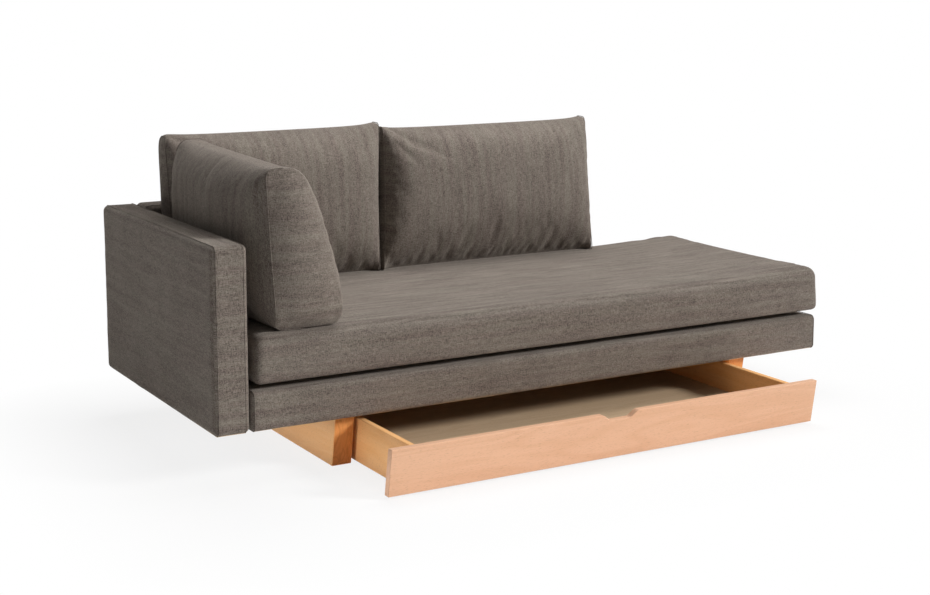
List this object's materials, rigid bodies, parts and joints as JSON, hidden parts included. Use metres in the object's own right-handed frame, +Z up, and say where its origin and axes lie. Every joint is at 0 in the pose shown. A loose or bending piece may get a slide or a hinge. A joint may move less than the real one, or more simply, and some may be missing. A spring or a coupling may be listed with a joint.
{
  "type": "sofa bed",
  "caption": "One-armed sofa bed with a pull-out seat, folding front legs, loose wedge cushions and a wooden storage drawer under the seat.",
  "frame": {"origin": "middle of the footprint at rest, drawer open as in the picture, on the floor", "axes": "+X along the seat from the arm to the open end, +Y from the front to the back panel, +Z up"},
  "size_m": [2.104, 1.2186, 0.8853],
  "materials": {
    "fabric": "taupe melange linen-look weave",
    "fabric_cushion": "taupe melange linen-look weave, loose cushions",
    "beech": "steamed beech, satin lacquer",
    "pale_wood": "planed softwood",
    "plywood": "plywood",
    "steel": "zinc plated",
    "black_steel": "black powder coat",
    "nylon": "natural nylon",
    "rubber": "black rubber"
  },
  "bodies": {
    "root": {"arm_cover": "fabric", "arm_frame": "pale_wood", "arm_joining_plate": "steel", "arm_liner_inner": "plywood", "arm_liner_outer": "plywood", "back_cover": "fabric", "back_frame": "pale_wood", "back_joining_plate": "steel", "back_liner_front": "plywood", "back_liner_rear": "plywood", "base_bearer_left": "pale_wood", "base_bearer_right": "pale_wood", "base_cover": "fabric", "base_deck": "plywood", "base_rail_front": "pale_wood", "base_rail_left": "pale_wood", "base_rail_rear": "pale_wood", "base_rail_right": "pale_wood", "base_slide_left": "beech", "base_slide_right": "beech", "drawer_guide_left": "beech", "drawer_guide_right": "beech", "plinth_angle_left": "steel", "plinth_angle_right": "steel", "plinth_board_left": "beech", "plinth_board_right": "beech", "plinth_rear_rail": "beech"},
    "seat": {"leg_pin_left": "steel", "leg_pin_right": "steel", "seat_crossbar_left": "pale_wood", "seat_crossbar_right": "pale_wood", "seat_deck": "plywood", "seat_glide_left": "nylon", "seat_glide_right": "nylon", "seat_mattress": "fabric", "seat_rail_front": "pale_wood", "seat_rail_left": "pale_wood", "seat_rail_rear": "pale_wood", "seat_rail_right": "pale_wood"},
    "drawer": {"drawer_front": "beech", "drawer_side_left": "beech", "drawer_side_right": "beech", "drawer_back": "beech", "drawer_bottom": "plywood", "drawer_muntin": "pale_wood", "castor_fork_front_left": "steel", "castor_fork_front_right": "steel", "castor_fork_rear_left": "steel", "castor_fork_rear_right": "steel"},
    "leg_left": {"leg_left": "black_steel", "leg_foot_left": "rubber"},
    "leg_right": {"leg_right": "black_steel", "leg_foot_right": "rubber"},
    "back_cushion_left": {"back_cushion_left": "fabric_cushion"},
    "back_cushion_right": {"back_cushion_right": "fabric_cushion"},
    "side_cushion": {"side_cushion": "fabric_cushion"},
    "wheel_front_left": {"castor_wheel_front_left": "nylon"},
    "wheel_front_right": {"castor_wheel_front_right": "nylon"},
    "wheel_rear_left": {"castor_wheel_rear_left": "nylon"},
    "wheel_rear_right": {"castor_wheel_rear_right": "nylon"}
  },
  "joints": [
    {"name": "seat_pull_out", "type": "slide", "parent": "root", "child": "seat", "axis": [0, -1, 0], "range_m": [0, 0.45]},
    {"name": "leg_fold_left", "type": "hinge", "parent": "seat", "child": "leg_left", "pos_m": [-0.8924, -0.2806, 0.308], "axis": [0, 1, 0], "range_deg": [0, 90]},
    {"name": "leg_fold_right", "type": "hinge", "parent": "seat", "child": "leg_right", "pos_m": [1.012, -0.2806, 0.308], "axis": [0, -1, 0], "range_deg": [0, 90]},
    {"name": "drawer_slide", "type": "slide", "parent": "root", "child": "drawer", "axis": [0, -1, 0], "range_m": [-0.321, 0.17]},
    {"name": "back_cushion_left_lift", "type": "slide", "parent": "seat", "child": "back_cushion_left", "axis": [0, 0, 1], "range_m": [0, 0.5]},
    {"name": "back_cushion_right_lift", "type": "slide", "parent": "seat", "child": "back_cushion_right", "axis": [0.0602, 0, 0.9982], "range_m": [0, 0.5]},
    {"name": "side_cushion_lift", "type": "slide", "parent": "seat", "child": "side_cushion", "axis": [0, 0, 1], "range_m": [0, 0.5]},
    {"name": "wheel_roll_front_left", "type": "hinge", "parent": "drawer", "child": "wheel_front_left", "pos_m": [-0.5688, -0.49337, 0.0185], "axis": [1, 0, 0], "range_deg": [-1025, 545]},
    {"name": "wheel_roll_front_right", "type": "hinge", "parent": "drawer", "child": "wheel_front_right", "pos_m": [0.6728, -0.49337, 0.0185], "axis": [1, 0, 0], "range_deg": [-1025, 545]},
    {"name": "wheel_roll_rear_left", "type": "hinge", "parent": "drawer", "child": "wheel_rear_left", "pos_m": [-0.5688, 0.0249, 0.0185], "axis": [1, 0, 0], "range_deg": [-1025, 545]},
    {"name": "wheel_roll_rear_right", "type": "hinge", "parent": "drawer", "child": "wheel_rear_right", "pos_m": [0.6728, 0.0249, 0.0185], "axis": [1, 0, 0], "range_deg": [-1025, 545]}
  ],
  "couplings": [
    {"joint": "leg_fold_left", "follows": "seat_pull_out", "rad_per_m": 3.4906},
    {"joint": "leg_fold_right", "follows": "seat_pull_out", "rad_per_m": 3.4906},
    {"joint": "wheel_roll_front_left", "follows": "drawer_slide", "rad_per_m": 55.556},
    {"joint": "wheel_roll_front_right", "follows": "drawer_slide", "rad_per_m": 55.556},
    {"joint": "wheel_roll_rear_left", "follows": "drawer_slide", "rad_per_m": 55.556},
    {"joint": "wheel_roll_rear_right", "follows": "drawer_slide", "rad_per_m": 55.556}
  ]
}
